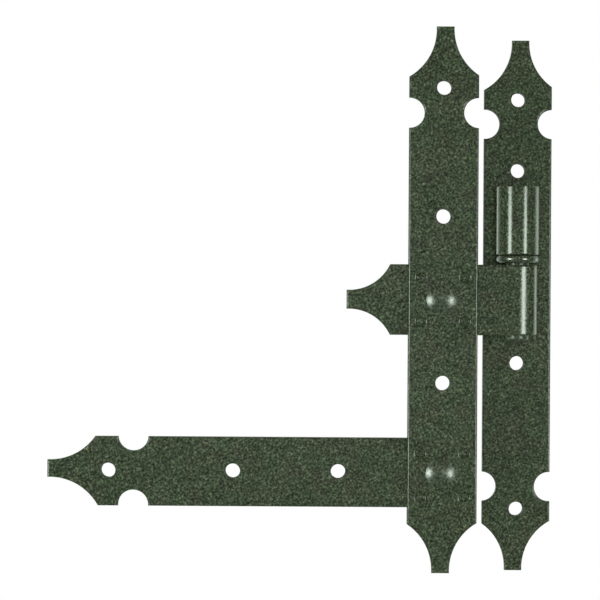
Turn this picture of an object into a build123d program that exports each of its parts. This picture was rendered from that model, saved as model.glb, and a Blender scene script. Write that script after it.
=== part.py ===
from build123d import *
import os
from math import acos, cos, radians, sin, sqrt

# An angle strap hinge for a shutter. The origin is the middle of the frame plate's back face.
# +X is to the right, +Y goes into the wall and +Z is up, along the pin. The leaf is modelled closed.
# All sizes are in millimetres.

# Flat bar
bar_width = 35.8
hinge_band_extra_width = 0.7
bar_thick = 4.0
plate_thick = 4.0
edge_round = 1.0

# Lengths of the straps
strap_length = 280.8
plate_length = 280.5
lower_band_reach = 203.3
tail_reach = 49.4
lower_band_drop = 89.3
lower_joint_drop = 0.6
leaf_rise = 2.7
strap_to_plate_gap = 5.6
hidden_end_inset = 1.5

# Ornament at the ends
tip_width = 9.0
spear_length = 25.4
tail_tip_width = 9.8
tail_spear_length = 22.3
spear_lead = 1.2
notch_radius = 7.8
notch_from_tip = 44.3
plate_stamp_offset = 1.3
band_stamp_offset = 1.2
strap_stamp_offset = 0.6
notch_share = 0.35

# Screw holes
screw_hole_radius = 3.75
tip_screw = 31.5
strap_screw_offset = 42.8
band_middle_screw = 95.7
band_inner_screw = 150.0
band_screw_rise = 0.5
plate_upper_screw = 71.2
plate_lower_screw = 30.6
plate_bottom_screw = 32.6

# Pin, eye, ring and barrel
pin_x = -1.5
pin_radius = 6.0
running_clearance = 0.1
eye_to_plate_gap = 1.0
eye_seam_gap = 0.5
roll_lead = 1.65
roll_start_radius = 16.0
roll_start_turn = 25
ring_thick = 4.3
ring_round = 2.0
ring_play = 0.95
barrel_height = 35.8
barrel_round = 0.7
pin_end_length = 3.15
pin_end_round = 1.8
pin_head_ledge = 1.7
pin_head_thick = 1.6
weld_inset = 1.2
weld_dip = 1.0
weld_setback = 2.0

# Rivets at the crossings
rivet_head_radius = 8.5
rivet_head_height = 2.5
rivet_shank_radius = 5.0
rivet_rear_flare = 2.5
rivet_clearance = 0.1

# Pressed nibs round each rivet: a soft edged pocket in front, a round nib behind
nib_spacing = 22.6
pocket_radius = 2.2
pocket_lip_round = 1.2
pocket_floor_round = 0.4
nib_radius = 2.6
nib_height = 1.4
nib_clearance = 0.1

# Sizes that follow from the ones above
half_width = bar_width / 2
hinge_band_width = bar_width + hinge_band_extra_width
hinge_band_half = hinge_band_width / 2
eye_inner_radius = pin_radius + running_clearance
eye_outer_radius = eye_inner_radius + bar_thick
barrel_radius = eye_outer_radius + eye_to_plate_gap
weld_half_width = barrel_radius - weld_inset
weld_rise = barrel_radius / 2
pin_head_radius = pin_radius + pin_head_ledge
pin_y = -(plate_thick + barrel_radius)
band_back_y = pin_y - eye_inner_radius
band_front_y = band_back_y - bar_thick
strap_front_y = band_front_y - bar_thick
strap_x = -(half_width + strap_to_plate_gap + half_width)
band_z = leaf_rise - lower_band_drop
lower_joint_z = band_z - lower_joint_drop
ring_bottom_z = leaf_rise + hinge_band_half + ring_play
barrel_bottom_z = ring_bottom_z + ring_thick
barrel_top_z = barrel_bottom_z + barrel_height
rivet_rear_radius = rivet_shank_radius + rivet_rear_flare


def spear_flanks(tip_at, inward, tip, length, offset):
    """The two round cuts that narrow a strap to its tip, stamped a little off the strap's middle."""
    tip_half = tip / 2
    rise = half_width - tip_half
    run = length - spear_lead
    radius = (rise ** 2 + run ** 2) / (2 * rise)
    x = tip_at + inward * spear_lead
    middle = -inward * offset
    y = tip_half + radius
    return Pos(x, middle + y) * Circle(radius) + Pos(x, middle - y) * Circle(radius)


def edge_notches(tip_at, inward, offset):
    """Two half-round bites, one in each long edge. They share a part of the tip's offset."""
    x = tip_at + inward * notch_from_tip
    middle = -inward * offset * notch_share
    near = Pos(x, middle - half_width) * Circle(notch_radius)
    far = Pos(x, middle + half_width) * Circle(notch_radius)
    return near + far


def flat_strap(length, thick, cuts, holes, hole_offset):
    """A strap along +X from its end at 0, from Z 0 in front to thick at the back, with rounded edges."""
    outline = Pos(length / 2, 0) * Rectangle(length, bar_width)
    for cut in cuts:
        outline = outline - cut
    solid = extrude(outline, amount=thick)
    rims = solid.faces().sort_by(Axis.Z)[0].edges() + solid.faces().sort_by(Axis.Z)[-1].edges()
    solid = fillet(rims, edge_round)
    for x in holes:
        solid = solid - extrude(Pos(x, hole_offset) * Circle(screw_hole_radius), amount=thick)
    return solid


def upright(x, front_y, bottom_z):
    """The plane of a vertical strap: its length goes up and its thickness goes towards the wall."""
    return Plane(origin=(x, front_y, bottom_z), x_dir=(0, 0, 1), z_dir=(0, 1, 0))


def level(x, front_y, z):
    """The plane of a horizontal strap or a crossing: +X goes right and the thickness towards the wall."""
    return Plane(origin=(x, front_y, z), x_dir=(1, 0, 0), z_dir=(0, 1, 0))


def disc(radius, bottom_z, height):
    """A solid cylinder on the pin's axis."""
    base = Plane(origin=(pin_x, pin_y, bottom_z), x_dir=(1, 0, 0), z_dir=(0, 0, 1))
    return base * extrude(Circle(radius), amount=height)


def nib_places():
    """The four nibs stand on a square about the rivet."""
    return GridLocations(nib_spacing, nib_spacing, 2, 2)


def nib_pocket():
    """The pocket that the punch leaves in front of a nib: a soft lip that runs down to a flat floor."""
    mouth = pocket_radius + pocket_lip_round
    depth = pocket_lip_round + pocket_floor_round
    with BuildSketch(Plane.XZ) as profile:
        with BuildLine():
            edge = Line((0, 0), (mouth, 0))
            lip = RadiusArc(edge @ 1, (pocket_radius, pocket_lip_round), pocket_lip_round)
            corner = RadiusArc(lip @ 1, (pocket_radius - pocket_floor_round, depth), -pocket_floor_round)
            Polyline(corner @ 1, (0, depth), (0, 0))
        make_face()
    return revolve(profile.sketch, Axis.Z)


def front_strap_joint(strap, z):
    """Cut a rivet hole through the front strap and press four nibs out of it, towards the strap behind."""
    front = level(strap_x, strap_front_y, z)
    back = level(strap_x, band_front_y, z)
    strap = strap - front * extrude(Circle(rivet_shank_radius + rivet_clearance), amount=bar_thick)
    for place in nib_places():
        nib = back * place * extrude(Circle(nib_radius), amount=nib_height)
        strap = strap - front * place * nib_pocket() + nib
    return strap


def rear_strap_joint(strap, z):
    """Cut the rivet hole, its countersink at the back and the holes that take the nibs."""
    here = level(strap_x, band_front_y, z)
    hole = rivet_shank_radius + rivet_clearance
    sink = rivet_rear_radius + rivet_clearance
    strap = strap - here * extrude(Circle(hole), amount=bar_thick)
    depth = sink - hole
    cone = Pos(0, 0, bar_thick - depth / 2) * Cone(hole, sink, depth)
    strap = strap - here * cone
    for place in nib_places():
        strap = strap - here * place * extrude(Circle(nib_radius + nib_clearance), amount=bar_thick)
    return strap


def vertical_strap():
    """The tall strap in front, notched at its top end only."""
    centre = strap_length / 2
    cuts = [
        spear_flanks(0, 1, tip_width, spear_length, strap_stamp_offset),
        spear_flanks(strap_length, -1, tip_width, spear_length, strap_stamp_offset),
        edge_notches(strap_length, -1, strap_stamp_offset),
    ]
    holes = [centre - strap_screw_offset, centre + strap_screw_offset, strap_length - tip_screw]
    flat = flat_strap(strap_length, bar_thick, cuts, holes, 0)
    strap = upright(strap_x, strap_front_y, leaf_rise - centre) * flat
    strap = front_strap_joint(strap, leaf_rise)
    return front_strap_joint(strap, lower_joint_z)


def lower_band():
    """The long horizontal strap behind, square where the vertical strap covers its end."""
    left = strap_x - lower_band_reach
    right = strap_x + half_width - hidden_end_inset
    cuts = [
        spear_flanks(0, 1, tip_width, spear_length, band_stamp_offset),
        edge_notches(0, 1, band_stamp_offset),
    ]
    holes = [tip_screw, band_middle_screw, band_inner_screw]
    flat = flat_strap(right - left, bar_thick, cuts, holes, -band_screw_rise)
    return rear_strap_joint(level(left, band_front_y, band_z) * flat, lower_joint_z)


def eye_profile(tail_x):
    """The hinge band from above, about the pin: a straight run that is rolled back on itself."""
    inner = eye_inner_radius
    outer = eye_outer_radius
    bend = radians(roll_start_turn)
    side_turn = 90 - roll_start_turn
    side_radius = (outer + roll_lead - roll_start_radius * sin(bend)) / (1 - sin(bend))
    seam = acos((inner - eye_seam_gap) / outer)
    lip_outside = (-outer * sin(seam), -outer * cos(seam))
    lip_inside = (-inner * sin(seam), -inner * cos(seam))
    with BuildSketch() as profile:
        with BuildLine():
            front = Line((tail_x, -outer), (-roll_lead, -outer))
            start = JernArc(front @ 1, (1, 0), roll_start_radius, roll_start_turn)
            side = JernArc(start @ 1, start % 1, side_radius, side_turn)
            Line(side @ 1, (outer, 0))
            ThreePointArc((outer, 0), (0, outer), lip_outside)
            Line(lip_outside, lip_inside)
            ThreePointArc(lip_inside, (0, inner), (0, -inner))
            Polyline((0, -inner), (tail_x, -inner), (tail_x, -outer))
        make_face()
    return profile.sketch


def hinge_band():
    """The upper horizontal strap, with a spear tail at the left and the rolled eye at the right."""
    tail_x = strap_x - tail_reach
    base = Plane(origin=(pin_x, pin_y, leaf_rise - hinge_band_half), x_dir=(1, 0, 0), z_dir=(0, 0, 1))
    band = base * extrude(eye_profile(tail_x - pin_x), amount=hinge_band_width)
    flanks = extrude(spear_flanks(0, 1, tail_tip_width, tail_spear_length, 0), amount=bar_thick)
    band = band - level(tail_x, band_front_y, leaf_rise) * flanks
    front = band.faces().filter_by(Plane.XZ).sort_by(Axis.Y)[0]
    back = band.faces().filter_by(Plane.XZ).sort_by(Axis.Y)[-1]
    straight_end = pin_x - roll_lead - edge_round
    rims = (front.edges() + back.edges()).filter_by(lambda edge: edge.center().X < straight_end)
    band = fillet(rims, edge_round)
    return rear_strap_joint(band, leaf_rise)


def frame_plate():
    """The plate that is screwed to the frame, notched at both ends."""
    centre = plate_length / 2
    cuts = [
        spear_flanks(0, 1, tip_width, spear_length, plate_stamp_offset),
        spear_flanks(plate_length, -1, tip_width, spear_length, plate_stamp_offset),
        edge_notches(0, 1, plate_stamp_offset),
        edge_notches(plate_length, -1, plate_stamp_offset),
    ]
    holes = [
        plate_bottom_screw,
        centre - plate_lower_screw,
        centre + plate_upper_screw,
        plate_length - tip_screw,
    ]
    return upright(0, -plate_thick, -centre) * flat_strap(plate_length, plate_thick, cuts, holes, 0)


def weld_profile():
    """Section of the weld under the barrel: flat on the plate, hollow at each side, up to the barrel."""
    up_x = sqrt(barrel_radius ** 2 - (barrel_radius - weld_rise) ** 2)
    side_x = min(weld_half_width, up_x) - weld_dip
    with BuildSketch() as profile:
        with BuildLine():
            Line((-weld_half_width, 0), (weld_half_width, 0))
            ThreePointArc((weld_half_width, 0), (side_x, weld_rise / 2), (up_x, weld_rise))
            Line((up_x, weld_rise), (-up_x, weld_rise))
            ThreePointArc((-up_x, weld_rise), (-side_x, weld_rise / 2), (-weld_half_width, 0))
        make_face()
    return profile.sketch


def fixed_knuckle():
    """The barrel that holds the pin, with the weld that carries it on the plate."""
    barrel = disc(barrel_radius, barrel_bottom_z, barrel_height)
    barrel = fillet(barrel.edges().filter_by(GeomType.CIRCLE), barrel_round)
    foot_z = barrel_bottom_z + weld_setback
    foot = Plane(origin=(pin_x, -plate_thick, foot_z), x_dir=(-1, 0, 0), z_dir=(0, 0, 1))
    barrel = barrel + foot * extrude(weld_profile(), amount=barrel_height - 2 * weld_setback)
    bore = disc(pin_radius + running_clearance, barrel_bottom_z, barrel_height)
    recess = disc(pin_head_radius + running_clearance, barrel_top_z - pin_head_thick, pin_head_thick)
    return barrel - bore - recess


def hinge_pin():
    """The pin: a flat head let into the barrel's top, and a rounded end below the eye."""
    bottom_z = leaf_rise - hinge_band_half - pin_end_length
    shaft = disc(pin_radius, bottom_z, barrel_top_z - bottom_z)
    end = shaft.edges().filter_by(GeomType.CIRCLE).sort_by(Axis.Z)[0]
    shaft = fillet(end, pin_end_round)
    return shaft + disc(pin_head_radius, barrel_top_z - pin_head_thick, pin_head_thick)


def bearing_ring():
    """The ring that the eye turns against, with a rounded rim."""
    ring = disc(barrel_radius - running_clearance, ring_bottom_z, ring_thick)
    ring = fillet(ring.edges().filter_by(GeomType.CIRCLE), ring_round)
    return ring - disc(pin_radius + running_clearance, ring_bottom_z, ring_thick)


def rivet(z):
    """A domed head in front, a shank through both straps and a flush head in the countersink behind."""
    grip = 2 * bar_thick
    rear_depth = rivet_rear_radius - rivet_shank_radius
    dome_radius = (rivet_head_radius ** 2 + rivet_head_height ** 2) / (2 * rivet_head_height)
    half_chord = rivet_head_radius / 2
    dome_middle = rivet_head_height - dome_radius + sqrt(dome_radius ** 2 - half_chord ** 2)
    with BuildSketch(Plane.XZ) as profile:
        with BuildLine():
            Line((0, -grip), (0, rivet_head_height))
            ThreePointArc((0, rivet_head_height), (half_chord, dome_middle), (rivet_head_radius, 0))
            Line((rivet_head_radius, 0), (rivet_shank_radius, 0))
            Line((rivet_shank_radius, 0), (rivet_shank_radius, rear_depth - grip))
            Line((rivet_shank_radius, rear_depth - grip), (rivet_rear_radius, -grip))
            Line((rivet_rear_radius, -grip), (0, -grip))
        make_face()
    seat = Plane(origin=(strap_x, strap_front_y, z), x_dir=(1, 0, 0), z_dir=(0, -1, 0))
    return seat * revolve(profile.sketch, Axis.Z)


os.makedirs("parts", exist_ok=True)
export_step(vertical_strap(), "parts/vertical_strap.step")
export_step(hinge_band(), "parts/hinge_band.step")
export_step(lower_band(), "parts/lower_band.step")
export_step(rivet(leaf_rise), "parts/rivet_upper.step")
export_step(rivet(lower_joint_z), "parts/rivet_lower.step")
export_step(frame_plate(), "parts/frame_plate.step")
export_step(fixed_knuckle(), "parts/fixed_knuckle.step")
export_step(bearing_ring(), "parts/bearing_ring.step")
export_step(hinge_pin(), "parts/hinge_pin.step")
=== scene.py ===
from math import cos, pi, radians, sin

import bmesh
import bpy
from mathutils import Matrix, Vector

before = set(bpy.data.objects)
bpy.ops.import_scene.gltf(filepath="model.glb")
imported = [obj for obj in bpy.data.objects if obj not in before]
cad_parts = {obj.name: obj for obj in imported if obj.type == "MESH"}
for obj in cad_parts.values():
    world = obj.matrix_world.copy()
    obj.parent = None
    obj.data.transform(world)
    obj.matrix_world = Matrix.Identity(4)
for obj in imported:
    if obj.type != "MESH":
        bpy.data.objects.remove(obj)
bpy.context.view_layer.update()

# An angle strap hinge for a shutter, in metres. Its front faces -Y, its pin stands along +Z, and every
# piece has the same fine textured dark green-grey coat. The shapes are the frame's own, and this script
# gives them their coat, and adds the camera, the lamps, the surroundings and a floor.

MM = 0.001

# Camera: a long lens, level, with its roll in degrees.
LENS_MM = 93.59
SENSOR_MM = 36.0
CAMERA_PLACE = Vector((-114.84, -829.2, 2.13)) * MM
CAMERA_ROLL = -0.36

# Lamps. Angles are in degrees about the pin, from the hinge's front to its right. A share is the part of a
# colour as written that the lamp shows on a face turned to it.
PIN_PLACE = Vector((-1.5, -15.1, 0.0)) * MM
UP = Vector((0, 0, 1))
LAMP_POWER = 4  # watts for a square metre of lamp at a radiance of 1
STRIPS = {  # name: angle, width, radiance
    "strip_left": (-49.7, 0.34, 15.0),
    "strip_right": (34.3, 0.28, 15.0),
    "edge_right": (118.5, 0.60, 1.0),
    "edge_left": (-150.0, 0.50, 0.85),
}
STRIP_DISTANCE = 1.2
STRIP_HEIGHT = -0.06
STRIP_TALL = 0.46
SHINE_COLOUR = (0.87, 1.0, 0.88)
FRONT_ANGLE = -5.0
FRONT_SHARE = 0.44
BACK_ANGLES = {"left": -125.0, "right": 125.0}
BACK_SHARE = 0.44
TOP_SHARE = 0.30
FILL_DISTANCE = 1.3
FILL_SIZE = (0.55, 0.55)

# Surroundings. The card is the bright band that the coat mirrors, between two edges that are cosines of the
# angle from behind the hinge.
WORLD_SHARE = 0.38
ROOM_LIGHT = 0.15
CARD_TURN = 9.5
CARD_EDGE = 0.35
CARD_MIDDLE = 0.88
CARD_BLUR = 0.20
FLOOR_Z = -0.30
FLOOR_RADIUS = 0.70
FLOOR_SIDES = 96
FLOOR_COLOUR = (0.86, 0.86, 0.85)
FLOOR_ROUGHNESS = 0.9
FLOOR_GLOW = 0.14

# Coat
COAT_COLOUR = (0.0345, 0.0522, 0.0258)
WARM_COAT_COLOUR = (0.0380, 0.0503, 0.0268)
COAT_ROUGHNESS = 0.20
COAT_SHINE = 0.5
PIN_ROUGHNESS = 0.36
RIVET_ROUGHNESS = 0.30
RIVET_SHINE = 0.88
RING_ROUGHNESS = 0.24
RING_SHINE = 1.0
SPECKLE = 1.0
CLOUDS = 0.08
GRAIN_STRENGTH = 0.35
BAR_GRAIN_MM = 0.06
TURNED_GRAIN_MM = 0.05

# Patterns of the coat: scale per metre, detail, roughness. The slant, in radians, keeps the flat faces off
# the pattern's own planes, where it would be weak.
GRAIN_PATTERN = (950, 1.5, 0.5)
CLOUD_PATTERN = (55, 2, 0.5)
TONE_PATTERN = (90, 1, 0.5)
PATTERN_SLANT = (0.6, 0.4, 0.3)
SWING_SPAN = (0.3, 0.7)
TONE_SPAN = (0.4, 0.6)
ROUGHNESS_SWING = (0.8, 1.2)

# Sockets of a Mix node that mixes colours.
COLOUR_A = 6
COLOUR_B = 7
COLOUR_RESULT = 2


def make_camera():
    """A camera level with the middle of the hinge and a little to the left of the tall strap."""
    data = bpy.data.cameras.new("camera")
    data.lens = LENS_MM
    data.sensor_width = SENSOR_MM
    camera = bpy.data.objects.new("camera", data)
    bpy.context.scene.collection.objects.link(camera)
    camera.location = CAMERA_PLACE
    camera.rotation_euler = (radians(90), radians(CAMERA_ROLL), 0)
    bpy.context.scene.camera = camera


def level_way(turn):
    """The level direction at an angle about the pin."""
    angle = radians(turn)
    return Vector((sin(angle), -cos(angle), 0))


def make_lamp(name, way, distance, size, power, height=0):
    """A soft flat lamp that lies some way off the pin and faces back to it."""
    data = bpy.data.lights.new(name, "AREA")
    data.shape = "RECTANGLE"
    data.size, data.size_y = size
    data.energy = power
    lamp = bpy.data.objects.new(name, data)
    bpy.context.scene.collection.objects.link(lamp)
    lamp.location = PIN_PLACE + way * distance + Vector((0, 0, height))
    lamp.rotation_euler = way.to_track_quat("Z", "Y").to_euler()
    lamp.visible_camera = False
    return lamp


def make_strips():
    """Lamps that only draw the shine."""
    for name, (turn, width, radiance) in STRIPS.items():
        power = radiance * LAMP_POWER * width * STRIP_TALL
        size = (width, STRIP_TALL)
        strip = make_lamp(name, level_way(turn), STRIP_DISTANCE, size, power, STRIP_HEIGHT)
        strip.data.color = SHINE_COLOUR
        strip.visible_diffuse = False


def make_fills():
    """Broad lamps that light the colour evenly and don't show in the shine."""
    fills = [("front_fill", level_way(FRONT_ANGLE), FRONT_SHARE)]
    for side, turn in BACK_ANGLES.items():
        fills.append(("back_fill_" + side, level_way(turn), BACK_SHARE))
    fills.append(("top_fill", UP, TOP_SHARE))
    full_power = LAMP_POWER * pi * FILL_DISTANCE ** 2
    for name, way, share in fills:
        fill = make_lamp(name, way, FILL_DISTANCE, FILL_SIZE, share * full_power)
        fill.visible_glossy = False


def soft_step(tree, value, edge, low, high):
    """A number that goes from low to high as the value passes the edge."""
    step = tree.nodes.new("ShaderNodeMapRange")
    step.interpolation_type = "SMOOTHSTEP"
    step.inputs["From Min"].default_value = edge - CARD_BLUR / 2
    step.inputs["From Max"].default_value = edge + CARD_BLUR / 2
    step.inputs["To Min"].default_value = low
    step.inputs["To Max"].default_value = high
    tree.links.new(value, step.inputs["Value"])
    return step.outputs["Result"]


def make_world():
    """White wherever it is seen. Mirrored, it is a bright card behind the hinge in a dim room."""
    world = bpy.data.worlds.new("surroundings")
    bpy.context.scene.world = world
    world.use_nodes = True
    tree = world.node_tree
    tree.nodes.clear()
    out = tree.nodes.new("ShaderNodeOutputWorld")
    back = tree.nodes.new("ShaderNodeBackground")
    path = tree.nodes.new("ShaderNodeLightPath")
    place = tree.nodes.new("ShaderNodeTexCoord")
    behind = tree.nodes.new("ShaderNodeVectorMath")
    behind.operation = "DOT_PRODUCT"
    card_way = radians(CARD_TURN)
    behind.inputs[1].default_value = (sin(card_way), cos(card_way), 0)
    links = tree.links
    links.new(place.outputs["Generated"], behind.inputs[0])
    rise = soft_step(tree, behind.outputs["Value"], CARD_EDGE, ROOM_LIGHT, 1)
    fall = soft_step(tree, behind.outputs["Value"], CARD_MIDDLE, 1, ROOM_LIGHT)
    card = tree.nodes.new("ShaderNodeMath")
    card.operation = "MINIMUM"
    links.new(rise, card.inputs[0])
    links.new(fall, card.inputs[1])
    colour = tree.nodes.new("ShaderNodeMix")
    colour.data_type = "RGBA"
    colour.inputs[COLOUR_A].default_value = (1, 1, 1, 1)
    colour.inputs[COLOUR_B].default_value = (*SHINE_COLOUR, 1)
    links.new(path.outputs["Is Glossy Ray"], colour.inputs["Factor"])
    links.new(colour.outputs[COLOUR_RESULT], back.inputs["Color"])
    mirrored = tree.nodes.new("ShaderNodeMix")
    mirrored.inputs["A"].default_value = WORLD_SHARE
    links.new(path.outputs["Is Glossy Ray"], mirrored.inputs["Factor"])
    links.new(card.outputs[0], mirrored.inputs["B"])
    seen = tree.nodes.new("ShaderNodeMath")
    seen.operation = "MAXIMUM"
    links.new(path.outputs["Is Camera Ray"], seen.inputs[0])
    links.new(path.outputs["Is Transmission Ray"], seen.inputs[1])
    shown = tree.nodes.new("ShaderNodeMix")
    shown.inputs["B"].default_value = 1.0
    links.new(seen.outputs[0], shown.inputs["Factor"])
    links.new(mirrored.outputs["Result"], shown.inputs["A"])
    links.new(shown.outputs["Result"], back.inputs["Strength"])
    links.new(back.outputs[0], out.inputs["Surface"])


def pale_floor():
    """A round pale floor under the hinge, which the coat doesn't mirror."""
    mesh = bpy.data.meshes.new("floor")
    shape = bmesh.new()
    place = Matrix.Translation((0, 0, FLOOR_Z))
    bmesh.ops.create_circle(shape, cap_ends=True, radius=FLOOR_RADIUS, segments=FLOOR_SIDES, matrix=place)
    shape.to_mesh(mesh)
    shape.free()
    floor = bpy.data.objects.new("floor", mesh)
    bpy.context.scene.collection.objects.link(floor)
    material = bpy.data.materials.new("floor_finish")
    material.use_nodes = True
    tree = material.node_tree
    shader = tree.nodes["Principled BSDF"]
    shader.inputs["Base Color"].default_value = (*FLOOR_COLOUR, 1)
    shader.inputs["Roughness"].default_value = FLOOR_ROUGHNESS
    shader.inputs["Emission Color"].default_value = (1, 1, 1, 1)
    path = tree.nodes.new("ShaderNodeLightPath")
    glow = tree.nodes.new("ShaderNodeMath")
    glow.operation = "MULTIPLY"
    glow.inputs[1].default_value = FLOOR_GLOW
    tree.links.new(path.outputs["Is Camera Ray"], glow.inputs[0])
    tree.links.new(glow.outputs[0], shader.inputs["Emission Strength"])
    mesh.materials.append(material)
    floor.visible_glossy = False


def add_socket(group, name, kind, way):
    """A named socket on a node group."""
    group.interface.new_socket(name=name, in_out=way, socket_type="NodeSocket" + kind)


def noise(tree, place, pattern):
    """A noise pattern on the given coordinates."""
    scale, detail, roughness = pattern
    node = tree.nodes.new("ShaderNodeTexNoise")
    node.inputs["Scale"].default_value = scale
    node.inputs["Detail"].default_value = detail
    node.inputs["Roughness"].default_value = roughness
    tree.links.new(place, node.inputs["Vector"])
    return node.outputs["Fac"]


def spread(tree, value, span, goal, stop):
    """The value stretched from one span to another, and stopped at its ends or not."""
    node = tree.nodes.new("ShaderNodeMapRange")
    node.clamp = stop
    node.inputs["From Min"].default_value, node.inputs["From Max"].default_value = span
    node.inputs["To Min"].default_value, node.inputs["To Max"].default_value = goal
    tree.links.new(value, node.inputs["Value"])
    return node.outputs["Result"]


def textured_coat_group():
    """Fine textured paint: a speckled shade, slow clouds over it, and the grain's height and roughness."""
    group = bpy.data.node_groups.new("textured_coat", "ShaderNodeTree")
    add_socket(group, "Place", "Vector", "INPUT")
    add_socket(group, "Colour", "Color", "INPUT")
    add_socket(group, "Warm Colour", "Color", "INPUT")
    add_socket(group, "Speckle", "Float", "INPUT")
    add_socket(group, "Clouds", "Float", "INPUT")
    add_socket(group, "Mean Roughness", "Float", "INPUT")
    add_socket(group, "Colour", "Color", "OUTPUT")
    add_socket(group, "Roughness", "Float", "OUTPUT")
    add_socket(group, "Height", "Float", "OUTPUT")
    nodes = group.nodes
    links = group.links
    given = nodes.new("NodeGroupInput")
    result = nodes.new("NodeGroupOutput")
    slant = nodes.new("ShaderNodeMapping")
    slant.inputs["Rotation"].default_value = PATTERN_SLANT
    links.new(given.outputs["Place"], slant.inputs["Vector"])
    place = slant.outputs["Vector"]
    grain = noise(group, place, GRAIN_PATTERN)
    cloud = noise(group, place, CLOUD_PATTERN)
    tone = noise(group, place, TONE_PATTERN)

    # The shade swings evenly about the coat's colour, lighter and darker by the same factor.
    swing = None
    for value, amount in ((grain, "Speckle"), (cloud, "Clouds")):
        layer = nodes.new("ShaderNodeMath")
        layer.operation = "MULTIPLY_ADD"
        layer.inputs[2].default_value = 0
        links.new(spread(group, value, SWING_SPAN, (-1, 1), False), layer.inputs[0])
        links.new(given.outputs[amount], layer.inputs[1])
        if swing is not None:
            links.new(swing, layer.inputs[2])
        swing = layer.outputs[0]
    shade = nodes.new("ShaderNodeMath")
    shade.operation = "EXPONENT"
    links.new(swing, shade.inputs[0])
    hue = nodes.new("ShaderNodeMix")
    hue.data_type = "RGBA"
    links.new(spread(group, tone, TONE_SPAN, (0, 1), True), hue.inputs["Factor"])
    links.new(given.outputs["Colour"], hue.inputs[COLOUR_A])
    links.new(given.outputs["Warm Colour"], hue.inputs[COLOUR_B])
    tint = nodes.new("ShaderNodeVectorMath")
    tint.operation = "SCALE"
    links.new(hue.outputs[COLOUR_RESULT], tint.inputs[0])
    links.new(shade.outputs[0], tint.inputs["Scale"])
    links.new(tint.outputs["Vector"], result.inputs["Colour"])
    roughness = nodes.new("ShaderNodeMath")
    roughness.operation = "MULTIPLY"
    links.new(given.outputs["Mean Roughness"], roughness.inputs[0])
    links.new(spread(group, grain, SWING_SPAN, ROUGHNESS_SWING, True), roughness.inputs[1])
    links.new(roughness.outputs[0], result.inputs["Roughness"])
    links.new(grain, result.inputs["Height"])
    return group


def coated_steel(name, group, roughness, shine, grain_mm):
    """The hinge's coat with its own roughness, strength of shine and depth of grain."""
    material = bpy.data.materials.new(name)
    material.use_nodes = True
    tree = material.node_tree
    shader = tree.nodes["Principled BSDF"]
    shader.inputs["Specular IOR Level"].default_value = shine
    place = tree.nodes.new("ShaderNodeTexCoord")
    coat = tree.nodes.new("ShaderNodeGroup")
    coat.node_tree = group
    coat.inputs["Colour"].default_value = (*COAT_COLOUR, 1)
    coat.inputs["Warm Colour"].default_value = (*WARM_COAT_COLOUR, 1)
    coat.inputs["Speckle"].default_value = SPECKLE
    coat.inputs["Clouds"].default_value = CLOUDS
    coat.inputs["Mean Roughness"].default_value = roughness
    bump = tree.nodes.new("ShaderNodeBump")
    bump.inputs["Strength"].default_value = GRAIN_STRENGTH
    bump.inputs["Distance"].default_value = grain_mm * MM
    links = tree.links
    links.new(place.outputs["Object"], coat.inputs["Place"])
    links.new(coat.outputs["Colour"], shader.inputs["Base Color"])
    links.new(coat.outputs["Roughness"], shader.inputs["Roughness"])
    links.new(coat.outputs["Height"], bump.inputs["Height"])
    links.new(bump.outputs["Normal"], shader.inputs["Normal"])
    return material


def coat_pieces():
    """The flat bars, the barrel, the pin, the ring and the rivets each get their own finish of the coat."""
    group = textured_coat_group()
    bar_coat = coated_steel("bar_coat", group, COAT_ROUGHNESS, COAT_SHINE, BAR_GRAIN_MM)
    turned_coat = coated_steel("turned_coat", group, COAT_ROUGHNESS, COAT_SHINE, TURNED_GRAIN_MM)
    pin_coat = coated_steel("pin_coat", group, PIN_ROUGHNESS, COAT_SHINE, TURNED_GRAIN_MM)
    ring_coat = coated_steel("ring_coat", group, RING_ROUGHNESS, RING_SHINE, TURNED_GRAIN_MM)
    rivet_coat = coated_steel("rivet_coat", group, RIVET_ROUGHNESS, RIVET_SHINE, TURNED_GRAIN_MM)
    coats = {
        "fixed_knuckle": turned_coat,
        "hinge_pin": pin_coat,
        "bearing_ring": ring_coat,
        "rivet_upper": rivet_coat,
        "rivet_lower": rivet_coat,
    }
    for name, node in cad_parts.items():
        node.data.materials.clear()
        node.data.materials.append(coats.get(name, bar_coat))


make_camera()
make_strips()
make_fills()
make_world()
pale_floor()
coat_pieces()

bpy.context.scene.view_settings.view_transform = "Standard"
